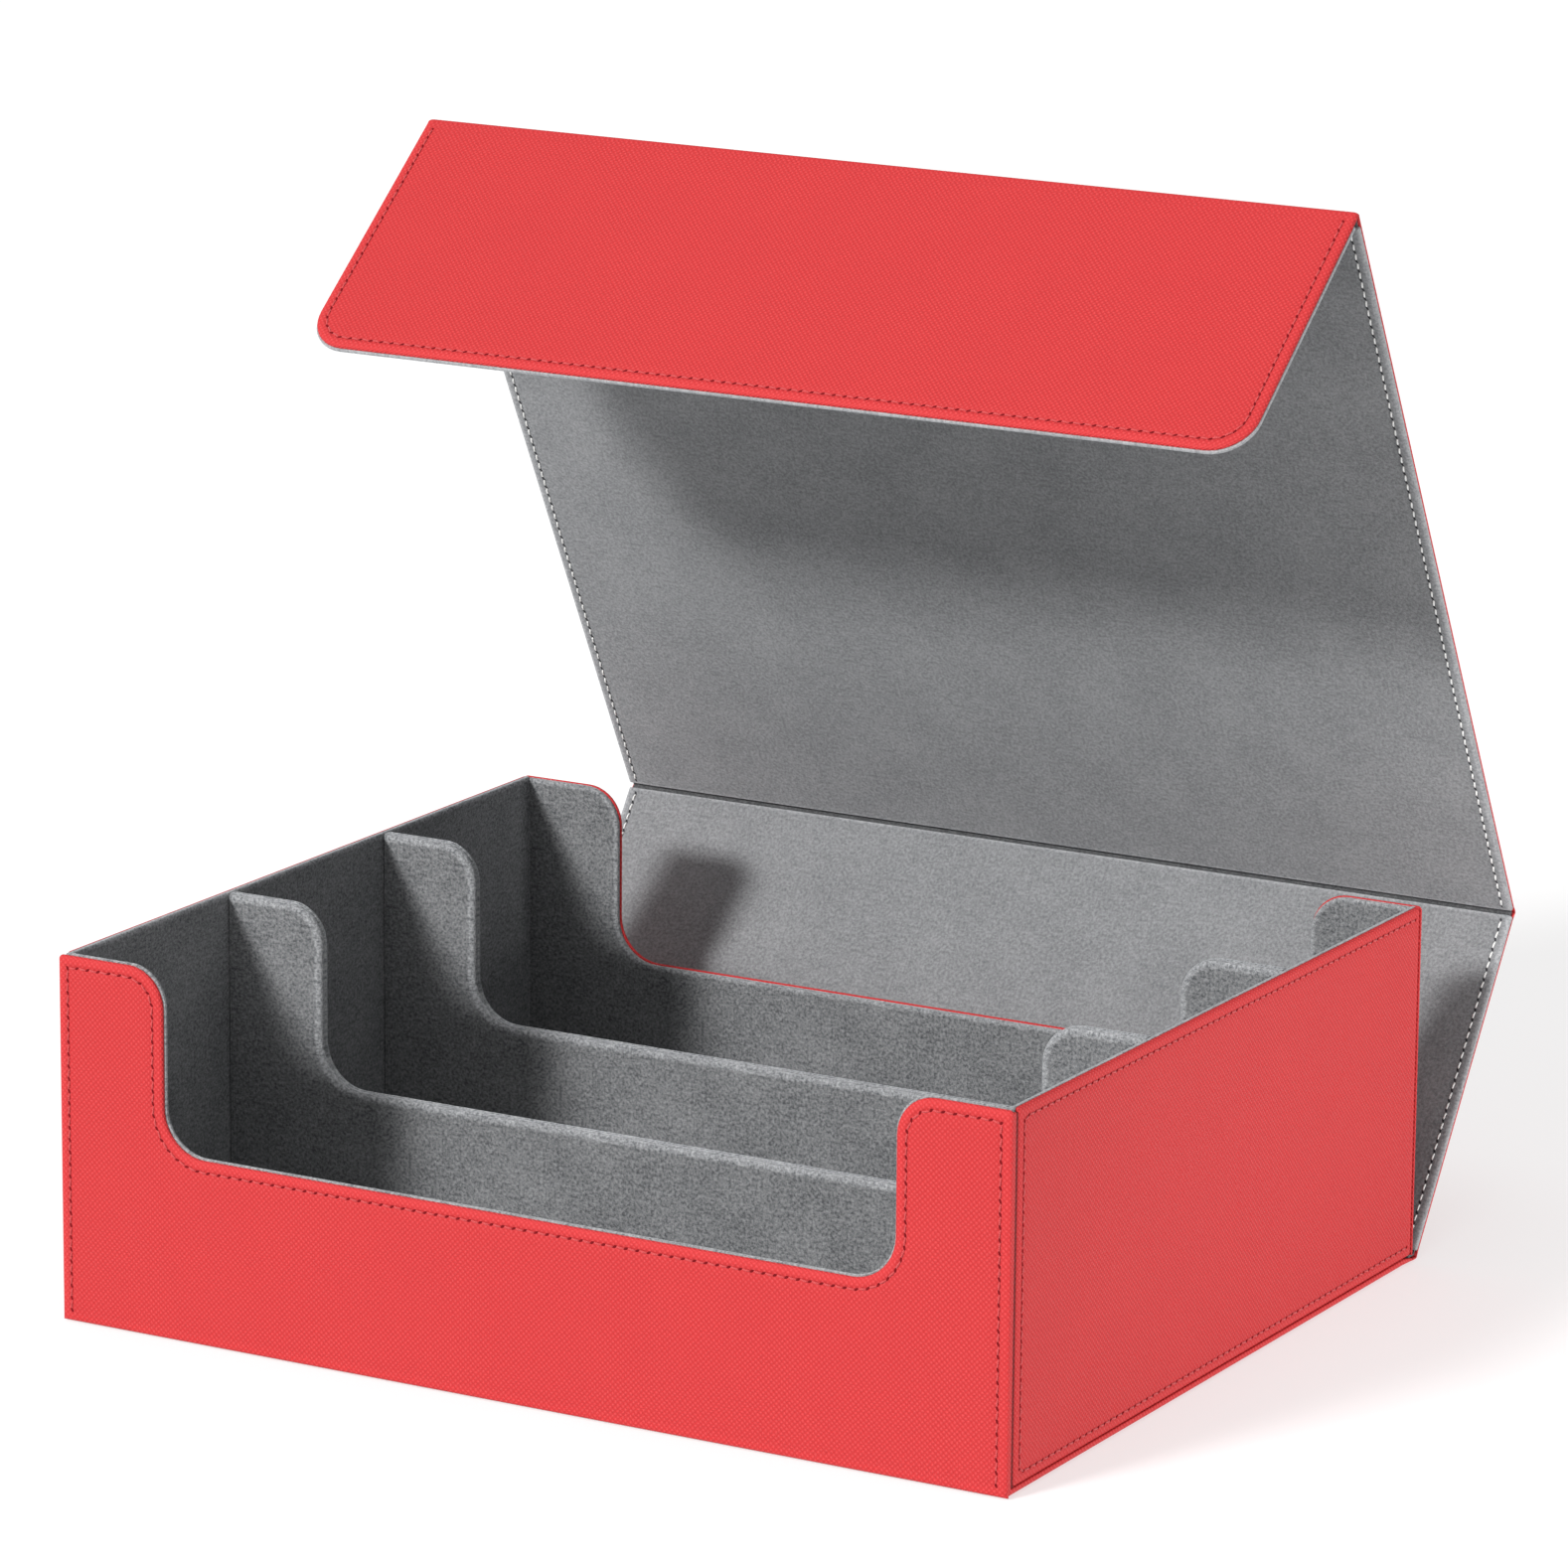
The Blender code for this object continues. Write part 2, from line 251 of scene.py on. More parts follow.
SIDE_POWER = 0.72
CAMERA_PLACE = (1.22935, -2.13059, 0.77204)
CAMERA_FORWARD = (-0.48179, 0.8432, -0.23853)
CAMERA_ROLL = 0.47
CAMERA_SENSOR = 36.0
CAMERA_LENS = 183.52
CAMERA_CLIP = 100.0

JOINTS = {joint["name"]: Vector(joint["pos_m"]) for joint in frame["joints"]}


# ---- sizes read from the frame

def node_points(node):
    return np.array([vertex.co for vertex in frame["nodes"][node].data.vertices])


def box_span(node, axis):
    low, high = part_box(node)
    return low[axis], high[axis]


class Panel:
    """A cover panel's own frame: X along the hinge, Y away from it, Z towards the lining."""

    def __init__(self, joint, board, skin):
        self.origin = JOINTS[joint]
        low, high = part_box(board)
        middle = (low + high) / 2 - self.origin
        self.along = Vector((0, middle.y, middle.z)).normalized()
        self.normal = Vector((0, -self.along.z, self.along.y))
        reach = (node_points(skin) - np.array(self.origin)) @ np.array(self.along)
        self.length = float(reach.max())

    def place(self, depth=0.0):
        """Matrix of the panel's frame, moved by depth towards the lining."""
        columns = Matrix.Identity(4)
        for row in range(3):
            columns[row][1] = self.along[row]
            columns[row][2] = self.normal[row]
            columns[row][3] = self.origin[row] + self.normal[row] * depth
        return columns

    def point(self, distance, depth=0.0):
        return self.origin + self.along * distance + self.normal * depth


# ---- outlines

class Outline:
    """A closed outline with rounded corners that can be read at any inset from its edge.

    corners: (x, y, radius, sewn, rim) in counter-clockwise order. sewn and rim describe the edge that
    leaves the corner: whether a seam runs along it, and how much of an inset it takes (0 for a butt
    joint, which has no rim)."""

    def __init__(self, corners):
        self.base = []
        self.direction = []
        self.limit = []
        self.tail = []
        self.sewn = []
        count = len(corners)
        for index in range(count):
            self.add_corner(corners[index - 1], corners[index], corners[(index + 1) % count])
        self.base = np.array(self.base)
        self.direction = np.array(self.direction)
        self.limit = np.array(self.limit)[:, None]
        self.tail = np.array(self.tail)
        self.sewn = np.array(self.sewn, float)

    def add(self, base, direction, limit, tail, sewn):
        """A point of the outline. Past the limit, an inset follows the tail and not the direction."""
        self.base.append(tuple(base))
        self.direction.append(tuple(direction))
        self.limit.append(limit)
        self.tail.append(tuple(tail))
        self.sewn.append(sewn)

    def add_corner(self, before, here, after):
        point = Vector(here[:2])
        to_here = (point - Vector(before[:2])).normalized()
        to_after = (Vector(after[:2]) - point).normalized()
        out_before = Vector((to_here.y, -to_here.x))
        out_after = Vector((to_after.y, -to_after.x))
        rim_before, rim_after = before[4], here[4]
        turn = math.asin(max(-1.0, min(1.0, to_here.cross(to_after))))
        radius = here[2]
        tangent = radius * math.tan(abs(turn) / 2)
        mitre = (out_before * rim_before + out_after * rim_after) / (1 + out_before.dot(out_after))
        sewn = max(before[3], here[3])
        margin = CORNER_REACH - radius if turn > 0 else 0.0
        room_before = (point - Vector(before[:2])).length / 2 - tangent
        room_after = (Vector(after[:2]) - point).length / 2 - tangent
        if 0 < margin < room_before:
            start = point - to_here * (tangent + margin)
            self.add(start, out_before * rim_before, math.inf, (0, 0), before[3])
        if radius == 0:
            self.add(point, mitre, math.inf, (0, 0), sewn)
        else:
            convex = turn > 0
            centre = point - to_here * tangent - out_before * (radius if convex else -radius)
            for step in range(ARC_STEPS + 1):
                angle = turn * step / ARC_STEPS
                out = Matrix.Rotation(angle, 2) @ out_before
                base = centre + out * (radius if convex else -radius)
                limit = radius if convex else math.inf
                self.add(base, out, limit, mitre, sewn)
        if 0 < margin < room_after:
            start = point + to_after * (tangent + margin)
            self.add(start, out_after * rim_after, math.inf, (0, 0), here[3])

    def at(self, inset):
        """The outline's points, moved in from the edge by the inset."""
        near = np.minimum(inset, self.limit)
        beyond = np.maximum(inset - self.limit, 0)
        beyond[np.isinf(self.limit)] = 0
        return self.base - self.direction * near - self.tail * beyond


def plain_corners(low_x, low_y, high_x, high_y, radius=0.0, sewn=(1, 1, 1, 1), rim=(1, 1, 1, 1)):
    """A rectangle. sewn and rim are for its bottom, right, top and left edges."""
    points = ((low_x, low_y), (high_x, low_y), (high_x, high_y), (low_x, high_y))
    return [(*point, radius, sewn[n], rim[n]) for n, point in enumerate(points)]


def cut_out_corners(half, low, high, grow=0.0, sewn=1):
    """The shared cut-out's outline. grow moves the cut-out's own edges into it."""
    inner = HALF - EAR - grow
    cut = CUT_HEIGHT + grow
    return [
        (-half, low, 0, 0, 1),
        (half, low, 0, sewn, 1),
        (half, high, OUTER_RADIUS, sewn, 1),
        (inner, high, EAR_RADIUS, sewn, 1),
        (inner, cut, CUT_RADIUS, sewn, 1),
        (-inner, cut, CUT_RADIUS, sewn, 1),
        (-inner, high, EAR_RADIUS, sewn, 1),
        (-half, high, OUTER_RADIUS, sewn, 1),
    ]


# ---- rim profiles

def quarter(width, depth, steps):
    """A rounded rim from the face to the side, as (inset, depth) pairs."""
    angles = [math.pi / 2 * step / steps for step in range(steps + 1)]
    return [(width * (1 - math.sin(a)), depth * (1 - math.cos(a))) for a in angles]


def seam_profile(dip):
    """The face's dip along the seam, from the middle towards the rim."""
    return [(SEAM + offset * SEAM_HALF_WIDTH, dip * share, 1, 0) for offset, share in SEAM_SHAPE]


def sheet_profile(thickness, edge, dip=0.0):
    """The section from the middle of the outer face, round the rim, to the middle of the back.

    Each point is (inset, depth, is seam, rim), where rim is 1 on the rounded edge and 0 on the face.
    Beside a seam, the face rises in a slight puff before the rim."""
    profile = [(FLAT, 0.0, 0, 0)]
    if dip > 0:
        profile += seam_profile(dip)
        profile.append((edge.width + PUFF_INSET, -PUFF, 1, SOFT_RIM))
    else:
        profile.append((edge.width + RIM_LEAD, 0.0, 0, 0))
    profile += [(inset, z, 0, 1) for inset, z in quarter(edge.width, edge.depth, RIM_STEPS)]
    back = reversed(quarter(edge.under, edge.under, UNDER_STEPS))
    profile += [(inset, thickness - z, 0, 1) for inset, z in back]
    profile.append((edge.under + BACK_LEAD, thickness, 0, 0))
    return profile


def strip_profile(thickness, rim):
    """The section of a narrow strip."""
    profile = [(rim + STRIP_LEAD, 0.0, 0, 0)]
    profile += [(inset, depth, 0, 0) for inset, depth in quarter(rim, rim, STRIP_STEPS)]
    profile += [(0.0, thickness, 0, 0), (STRIP_BACK, thickness, 0, 0)]
    return profile


def leather_profile():
    return sheet_profile(LEATHER, LEATHER_RIM, SEAM_DIP)


def velvet_profile(thickness, dip=0.0):
    return sheet_profile(thickness, VELVET_RIM, dip)


# ---- meshes

def new_object(name, mesh, material):
    mesh.materials.append(material)
    obj = bpy.data.objects.new(name, mesh)
    bpy.context.scene.collection.objects.link(obj)
    return obj


def mesh_from(shape, name):
    mesh = bpy.data.meshes.new(name)
    shape.to_mesh(mesh)
    shape.free()
    return mesh


def grid_mesh(name, rings, uvs, rims):
    """A closed body from rings of points, with a face over the first ring and one over the last.

    rims has each point's rim value, kept in the mesh for the materials."""
    count = len(rings[0])
    shape = bmesh.new()
    layer = shape.loops.layers.uv.new("UVMap")
    rim_layer = shape.verts.layers.float.new("rim")
    rows = [[shape.verts.new(point) for point in ring] for ring in rings]
    texture = {}
    for row, ring_uv, ring_rim in zip(rows, uvs, rims):
        for vertex, uv, rim in zip(row, ring_uv, ring_rim):
            texture[vertex] = uv
            vertex[rim_layer] = rim

    def face(vertices):
        made = shape.faces.new(vertices)
        made.smooth = True
        for loop in made.loops:
            loop[layer].uv = texture[loop.vert]

    for first, second in zip(rows, rows[1:]):
        for n in range(count):
            following = (n + 1) % count
            face((first[n], first[following], second[following], second[n]))
    face(tuple(reversed(rows[0])))
    face(tuple(rows[-1]))
    bmesh.ops.remove_doubles(shape, verts=shape.verts, dist=WELD)
    bmesh.ops.recalc_face_normals(shape, faces=shape.faces)
    mesh = mesh_from(shape, name)
    mesh.set_sharp_from_angle(angle=SHARP_ANGLE)
    return mesh


def plate(name, corners, profile, place, look, facing=1):
    """A flat sheet with a shaped rim. The profile's depth runs from the outer face along facing * Z."""
    outline = Outline(corners)
    rings, uvs, rims = [], [], []
    side = outline.at(0.0)
    outward = outline.at(-1.0) - side
    for inset, depth, is_seam, rim in profile:
        points = outline.at(inset)
        depths = depth * (outline.sewn > 0) if is_seam else np.full(len(points), depth)
        rings.append([place @ Vector((x, y, facing * d)) for (x, y), d in zip(points, depths)])
        stretch = max(depth - inset, 0.0)
        uvs.append((points + outward * stretch) / MM)
        rims.append([rim] * len(points))
    return new_object(name, grid_mesh(name, rings, uvs, rims), look)


def ribbon(name, stations, half_width, profile, look):
    """A sheet that follows a line of stations and has a rim at both ends of its width.

    A station is (point, outward normal, thickness share, seam share, distance along the sheet)."""
    rings, uvs = [], []
    right = [(half_width - inset, depth, is_seam, rim) for inset, depth, is_seam, rim in profile]
    left = [(-x, depth, is_seam, rim) for x, depth, is_seam, rim in reversed(right)]
    rims = [[rim for _, _, _, rim in right + left]] * len(stations)
    for point, outward, thickness, seam, distance in stations:
        ring, ring_uv = [], []
        for x, depth, is_seam, _ in right + left:
            inward = depth * (seam if is_seam else thickness)
            moved = point - outward * inward
            ring.append((x, moved.y, moved.z))
            ring_uv.append(((x + math.copysign(max(depth, 0), x)) / MM, distance / MM))
        rings.append(ring)
        uvs.append(ring_uv)
    return new_object(name, grid_mesh(name, rings, uvs, rims), look)


def thread_mesh(name, stitches):
    """Short slanted threads between needle holes. A stitch is (start, end, normal)."""
    shape = bmesh.new()
    layer = shape.loops.layers.uv.new("UVMap")
    falling = tuple((1 - t, lift, swell) for t, lift, swell in reversed(RISING_THREAD))
    arch = RISING_THREAD + TOP_OF_THREAD + falling
    for start, end, normal in stitches:
        line = end - start
        beside = normal.cross(line).normalized()
        start = start + beside * THREAD_SLANT
        line = end - beside * THREAD_SLANT - start
        beside = normal.cross(line).normalized()
        rows = []
        for t, lift, swell in arch:
            centre = start + line * t + normal * (lift * MM)
            row = []
            for n in range(THREAD_SIDES):
                angle = math.tau * n / THREAD_SIDES
                ring = beside * math.cos(angle) + normal * math.sin(angle)
                row.append(shape.verts.new(centre + ring * THREAD_RADIUS * swell))
            rows.append((t, row))
        for (t_low, low), (t_high, high) in zip(rows, rows[1:]):
            for n in range(THREAD_SIDES):
                following = (n + 1) % THREAD_SIDES
                made = shape.faces.new((low[n], low[following], high[following], high[n]))
                made.smooth = True
                wrap = ((n, t_low), (n + 1, t_low), (n + 1, t_high), (n, t_high))
                for loop, (u, v) in zip(made.loops, wrap):
                    loop[layer].uv = (u / THREAD_SIDES, v)
        shape.faces.new(list(reversed(rows[0][1])))
        shape.faces.new(rows[-1][1])
    bmesh.ops.recalc_face_normals(shape, faces=shape.faces)
    return mesh_from(shape, name)


def hole_mesh(name, holes):
    """Needle holes: small lozenges on the seam, dark with painted shade. A hole is (point, normal,
    direction).
    """
    shape = bmesh.new()
    for point, normal, direction in holes:
        direction = Matrix.Rotation(HOLE_SLANT, 3, normal) @ direction
        beside = normal.cross(direction).normalized()
        rim = []
        for n in range(HOLE_SIDES):
            angle = math.tau * n / HOLE_SIDES
            offset = direction * math.cos(angle) * HOLE_LENGTH + beside * math.sin(angle) * HOLE_WIDTH
            rim.append(shape.verts.new(point + offset * HOLE))
        top = shape.verts.new(point + normal * HOLE * HOLE_CROWN)
        low = shape.verts.new(point - normal * HOLE * HOLE_DEPTH)
        for n in range(HOLE_SIDES):
            following = (n + 1) % HOLE_SIDES
            shape.faces.new((rim[n], rim[following], top))
            shape.faces.new((rim[following], rim[n], low))
    return mesh_from(shape, name)


def even_points(line, pitch):
    """Points at an even pitch along a polyline."""
    line = np.array(line)
    steps = np.linalg.norm(np.diff(line, axis=0), axis=1)
    line = line[np.append(True, steps > SHORTEST_STEP)]
    steps = steps[steps > SHORTEST_STEP]
    travel = np.append(0, np.cumsum(steps))
    count = max(1, round(travel[-1] / pitch))
    at = np.linspace(0, travel[-1], count + 1)
    return np.stack([np.interp(at, travel, line[:, axis]) for axis in range(line.shape[1])], axis=1)


def seam_lines(corners):
    """The runs of the seam along an outline's sewn edges."""
    outline = Outline(corners)
    points = outline.at(SEAM)
    sewn = outline.sewn > 0
    if sewn.all():
        return [np.vstack([points, points[:1]])]
    start = int(np.argmin(sewn))
    order = [(start + n) % len(points) for n in range(len(points))]
    runs, run = [], []
    for n in order:
        if sewn[n]:
            run.append(points[n])
        elif run:
            runs.append(np.array(run))
            run = []
    if run:
        runs.append(np.array(run))
    return runs


def sew(name, body, lines, place, depth, facing, pitch, kind):
    """Stitches and needle holes along lines given in a panel's frame. facing is the outer side's Z."""
    normal = (place.to_3x3() @ Vector((0, 0, facing))).normalized()
    stitches, holes = [], []
    for line in lines:
        points = [place @ Vector((x, y, depth)) for x, y in even_points(line, pitch)]
        for start, end in zip(points, points[1:]):
            stitches.append((start, end, normal))
        directions = [(b - a).normalized() for a, b in zip(points, points[1:])]
        directions.append(directions[-1])
        holes += [(p, normal, d) for p, d in zip(points, directions)]
    thread_name = name + "_thread"
    hole_name = name + "_needle_holes"
    threads = new_object(thread_name, thread_mesh(thread_name, stitches), kind.thread)
    finish_piece(threads, body, kind.slot)
    finish_piece(new_object(hole_name, hole_mesh(hole_name, holes), kind.hole), body, kind.slot)


# ---- materials

def set_range(node, *limits):
    """The limits of a Map Range node."""
    for socket, value in zip(("From Min", "From Max", "To Min", "To Max"), limits):
        node.inputs[socket].default_value = value


class Nodes:
    """A short way to write a material's nodes."""

    def __init__(self, name):
        self.material = bpy.data.materials.new(name)
        self.material.use_nodes = True
        self.tree = self.material.node_tree
        self.shader = self.tree.nodes["Principled BSDF"]

    def add(self, kind, **settings):
        node = self.tree.nodes.new(kind)
        for name, value in settings.items():
            setattr(node, name, value)
        return node

    def link(self, source, target):
        self.tree.links.new(source, target)

    def math(self, operation, first, second=0.0, third=None):
        node = self.add("ShaderNodeMath", operation=operation)
        values = (first, second) if third is None else (first, second, third)
        for socket, value in zip(node.inputs, values):
            if isinstance(value, (int, float)):
                socket.default_value = value
            else:
                self.link(value, socket)
        return node.outputs[0]

    def sheet_coordinates(self, angle):
        """The sheet's coordinates in millimetres, and those along and across a direction on it."""
        turn = self.add("ShaderNodeVectorRotate", rotation_type="Z_AXIS")
        turn.inputs["Angle"].default_value = -math.radians(angle)
        source = self.add("ShaderNodeUVMap", uv_map="UVMap")
        self.link(source.outputs["UV"], turn.inputs["Vector"])
        split = self.add("ShaderNodeSeparateXYZ")
        self.link(turn.outputs["Vector"], split.inputs[0])
        return source.outputs["UV"], split.outputs["X"], split.outputs["Y"]

    def rim(self):
        """1 on a piece's rounded edge, 0 on its face."""
        return self.add("ShaderNodeAttribute", attribute_name="rim").outputs["Fac"]

    def noise(self, vector, scale, detail=2.0, roughness=0.5):
        node = self.add("ShaderNodeTexNoise")
        node.inputs["Scale"].default_value = scale
        node.inputs["Detail"].default_value = detail
        node.inputs["Roughness"].default_value = roughness
        self.link(vector, node.inputs["Vector"])
        return node.outputs["Fac"]

    def mix(self, share, first, second):
        """The first colour where the share is 0, the second where it is 1."""
        node = self.add("ShaderNodeMix", data_type="RGBA")
        self.link(share, node.inputs["Factor"])
        for value, socket in ((first, node.inputs["A"]), (second, node.inputs["B"])):
            if isinstance(value, tuple):
                socket.default_value = (*value, 1.0)
            else:
                self.link(value, socket)
        return node.outputs["Result"]

    def lighten(self, colour, share, gain):
        """The colour, multiplied by the gain where the share is 1."""
        node = self.add("ShaderNodeVectorMath", operation="SCALE")
        self.link(colour, node.inputs[0])
        self.link(self.math("MULTIPLY_ADD", share, gain - 1, 1.0), node.inputs["Scale"])
        return node.outputs["Vector"]

    def ramp(self, value, low, high, to_low=0.0, to_high=1.0):
        """The value, mapped from low..high to to_low..to_high and held at the ends."""
        node = self.add("ShaderNodeMapRange", clamp=True)
        self.link(value, node.inputs["Value"])
        set_range(node, low, high, to_low, to_high)
        return node.outputs["Result"]

    def bump(self, height, distance):
        node = self.add("ShaderNodeBump")
        node.inputs["Distance"].default_value = distance
        node.inputs["Strength"].default_value = 1.0
        self.link(height, node.inputs["Height"])
        self.link(node.outputs["Normal"], self.shader.inputs["Normal"])

    def set(self, **values):
        """Constant values of the shader, with _ for the spaces in an input's name."""
        for name, value in values.items():
            self.shader.inputs[name.replace("_", " ")].default_value = value


def leather(name, shade=1.0):
    """Artificial leather with a fine cross-grain: two sets of diagonal ridges that meet in small beads."""
    made = Nodes(name)
    sheet, first, second = made.sheet_coordinates(GRAIN_ANGLE)
    wander = made.noise(sheet, WANDER_SCALE)
    waves = []
    for distance, drift in zip((second, first), GRAIN_DRIFTS):
        phase = made.math("MULTIPLY", distance, math.tau / GRAIN_PITCH)
        phase = made.math("MULTIPLY_ADD", wander, drift, phase)
        waves.append(made.math("MULTIPLY_ADD", made.math("SINE", phase), 0.5, 0.5))
    ridge = made.math("MULTIPLY_ADD", waves[0], RIDGE_SHARE, 1 - RIDGE_SHARE)
    bead = made.math("MULTIPLY_ADD", waves[1], BEAD_SHARE, 1 - BEAD_SHARE)
    fine = made.noise(sheet, FINE_SCALE, roughness=0.6)
    grain = made.math("MULTIPLY_ADD", fine, FINE_SHARE, made.math("MULTIPLY", ridge, bead))
    patches = made.noise(sheet, PATCH_SCALE, detail=3.0)
    valley_and_shade, crest_and_highlight, warm_crest_and_highlight = (tuple(shade * channel for channel in colour) for colour in RED_GRAIN)
    lit = made.mix(made.ramp(patches, 0.35, 0.65), crest_and_highlight, warm_crest_and_highlight)
    # Valleys darker and crests lighter: the grain's own tone together with painted shade and painted
    # highlight
    face = made.mix(made.ramp(grain, 0.2, 1.0), valley_and_shade, lit)
    # Painted highlight: the colour is lighter on the rounded rims
    made.link(made.lighten(face, made.rim(), RED_RIM_PAINTED_HIGHLIGHT), made.shader.inputs["Base Color"])
    made.link(made.ramp(grain, 0.1, 1.0, to_low=0.6, to_high=0.45), made.shader.inputs["Roughness"])
    made.set(Specular_IOR_Level=0.14)
    made.bump(grain, GRAIN_RELIEF)
    return made.material


def velvet(name, shade, contrast):
    """Short-pile velvet: speckled, brushed in soft patches, and paler on rounded edges with a painted
    highlight.
    """
    made = Nodes(name)
    sheet, _, _ = made.sheet_coordinates(0)
    speck = made.noise(sheet, SPECK_SCALE, detail=3.0, roughness=0.75)
    tuft = made.noise(sheet, TUFT_SCALE, roughness=0.6)
    nap = made.noise(sheet, NAP_SCALE, detail=3.0, roughness=0.55)
    specks = made.math("MULTIPLY", speck, SPECK_SHARE)
    tone = made.math("ADD", specks, made.math("MULTIPLY", tuft, TUFT_SHARE))
    tone = made.math("MULTIPLY_ADD", nap, NAP_SHARE, tone)
    dark = tuple(shade * (mean - contrast * VELVET_SPREAD) for mean in VELVET)
    light = tuple(shade * (mean + contrast * VELVET_SPREAD) for mean in VELVET)
    face = made.mix(made.ramp(tone, 0.43, 0.69), dark, light)
    # Painted highlight: the colour is lighter on the rounded edges
    made.link(made.lighten(face, made.rim(), VELVET_RIM_PAINTED_HIGHLIGHT), made.shader.inputs["Base Color"])
    made.set(Roughness=0.92, Specular_IOR_Level=0.18)
    made.set(Sheen_Weight=0.7, Sheen_Roughness=0.35, Sheen_Tint=VELVET_SHEEN)
    made.bump(made.math("MULTIPLY_ADD", tuft, TUFT_RELIEF_SHARE, speck), PILE_RELIEF)
    return made.material


def thread(name, colours):
    """Twisted sewing thread, from its dark and its light colour."""
    made = Nodes(name)
    source = made.add("ShaderNodeUVMap", uv_map="UVMap")
    split = made.add("ShaderNodeSeparateXYZ")
    made.link(source.outputs["UV"], split.inputs[0])
    turns = made.math("MULTIPLY_ADD", split.outputs["Y"], TWISTS, split.outputs["X"])
    wave = made.math("SINE", made.math("MULTIPLY", turns, math.tau))
    twist = made.math("MULTIPLY_ADD", wave, 0.5, 0.5)
    made.link(made.mix(twist, *colours), made.shader.inputs["Base Color"])
    made.set(Roughness=0.6, Sheen_Weight=0.2)
    made.bump(twist, TWIST_RELIEF)
    return made.material


def hole_look(name, colour):
    """Painted shade for the dark inside of a needle hole, paler in places at random."""
    made = Nodes(name)
    place = made.add("ShaderNodeTexCoord")
    shade_noise = made.noise(place.outputs["Object"], HOLE_SHADE_NOISE_SCALE)
    paler = tuple(channel * HOLE_SHADE_NOISE_GAIN for channel in colour)
    made.link(made.mix(shade_noise, colour, paler), made.shader.inputs["Base Color"])
    made.set(Roughness=1.0, Specular_IOR_Level=0.0)
    return made.material


def steel(name):
    """Nickel-plated magnets, lightly brushed."""
    made = Nodes(name)
    place = made.add("ShaderNodeTexCoord")
    brushed = made.noise(place.outputs["Object"], BRUSHED_SCALE, detail=3.0)
    made.link(made.mix(brushed, *STEEL), made.shader.inputs["Base Color"])
    made.link(made.ramp(brushed, 0.3, 0.7, to_low=0.22, to_high=0.38), made.shader.inputs["Roughness"])
    made.set(Metallic=1.0)
    return made.material


red_leather = leather("red_leather")
# Painted shade: a darkened copy of the leather for the strips in the corner gaps
joint_shade_leather = leather("red_leather_painted_joint_shade", JOINT_PAINTED_SHADE)
lining_velvet = velvet("grey_velvet_lining", shade=1.0, contrast=0.6)
# Painted shade: the tray's velvet is a darker copy of the lining velvet (shade 0.8), with a stronger grain
row_velvet = velvet("grey_velvet_rows", shade=0.8, contrast=1.1)
# Painted shade: a dark copy of the velvet (shade 0.36) for the creases; the tray's floor board takes it too
crease_shade_and_board_velvet = velvet("dark_grey_velvet_crease_shade_and_board", shade=0.36, contrast=1.0)
red_thread = thread("red_thread", RED_THREAD)
grey_thread = thread("grey_thread", GREY_THREAD)
red_hole_shade = hole_look("red_needle_hole_shade", RED_HOLE_SHADE)
grey_hole_shade = hole_look("grey_needle_hole_shade", GREY_HOLE_SHADE)
magnet_steel = steel("magnet_steel")

Seam = namedtuple("Seam", "thread hole slot")
RED_SEAM = Seam(red_thread, red_hole_shade, "red_leather")
GREY_SEAM = Seam(grey_thread, grey_hole_shade, "grey_velvet")


# ---- the tray

LEFT_EDGE, RIGHT_EDGE = box_span("front_panel_skin", 0)
HALF = (RIGHT_EDGE - LEFT_EDGE) / 2
HEIGHT = box_span("front_panel_skin", 2)[1]
FRONT = box_span("front_panel_skin", 1)[0]
FRONT_INSIDE = box_span("front_panel_lining", 1)[1]
REAR = box_span("rear_wall_skin", 1)[1]
REAR_INSIDE = box_span("rear_wall_lining", 1)[0]
SIDE_INSIDE = box_span("right_wall_lining", 0)[0]
BOTTOM_TOP = box_span("bottom_panel_board", 2)[1]
WALL_LOW = BOTTOM_TOP + WALL_LIFT
PANEL = FRONT_INSIDE - FRONT
WALL = REAR - REAR_INSIDE
PANEL_LINING = PANEL - LEATHER + JOIN
WALL_LINING = WALL - LEATHER + JOIN
SIDES = (("left", -1), ("right", 1))
UNSEWN = (0,) * 4

# Upright strips in the front corners: the front panel's turned-over leather, and behind it a dark strip of
# painted shade in the gap
Strip = namedtuple("Strip", "sink front rear low drop thickness rim")
TURNED_EDGE = Strip(sink=0.02 * MM, front=FRONT + 0.9 * MM, rear=FRONT_INSIDE - 0.1 * MM, low=1.0 * MM,
                    drop=0.8 * MM, thickness=1.8 * MM, rim=0.4 * MM)
CORNER_SHADE_STRIP = Strip(sink=0.5 * MM, front=FRONT_INSIDE - 0.6 * MM, rear=FRONT_INSIDE + CORNER_GAP + 0.8 * MM,
                     low=1.0 * MM, drop=1.2 * MM, thickness=0.6 * MM, rim=0.2 * MM)


def finish_piece(obj, body, slot, *nodes):
    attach(obj, body)
    if nodes:
        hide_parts(*nodes)


def facing_front(y):
    """Frame of a plate standing across the box: X to the right, Y up, Z to the front."""
    return Matrix.Translation((0, y, 0)) @ Matrix.Rotation(math.radians(90), 4, "X")


def facing_side(side, x):
    """Frame of a plate on one side of the box: Y up, Z to the outside, X to the right from outside."""
    turn = Matrix.Rotation(math.radians(90 * side), 4, "Z") @ Matrix.Rotation(math.radians(90), 4, "X")
    return Matrix.Translation((x, 0, 0)) @ turn


def side_span(side, front, rear):
    """The ends of a front-to-rear run, in a side's own frame."""
    return sorted((side * front, side * rear))


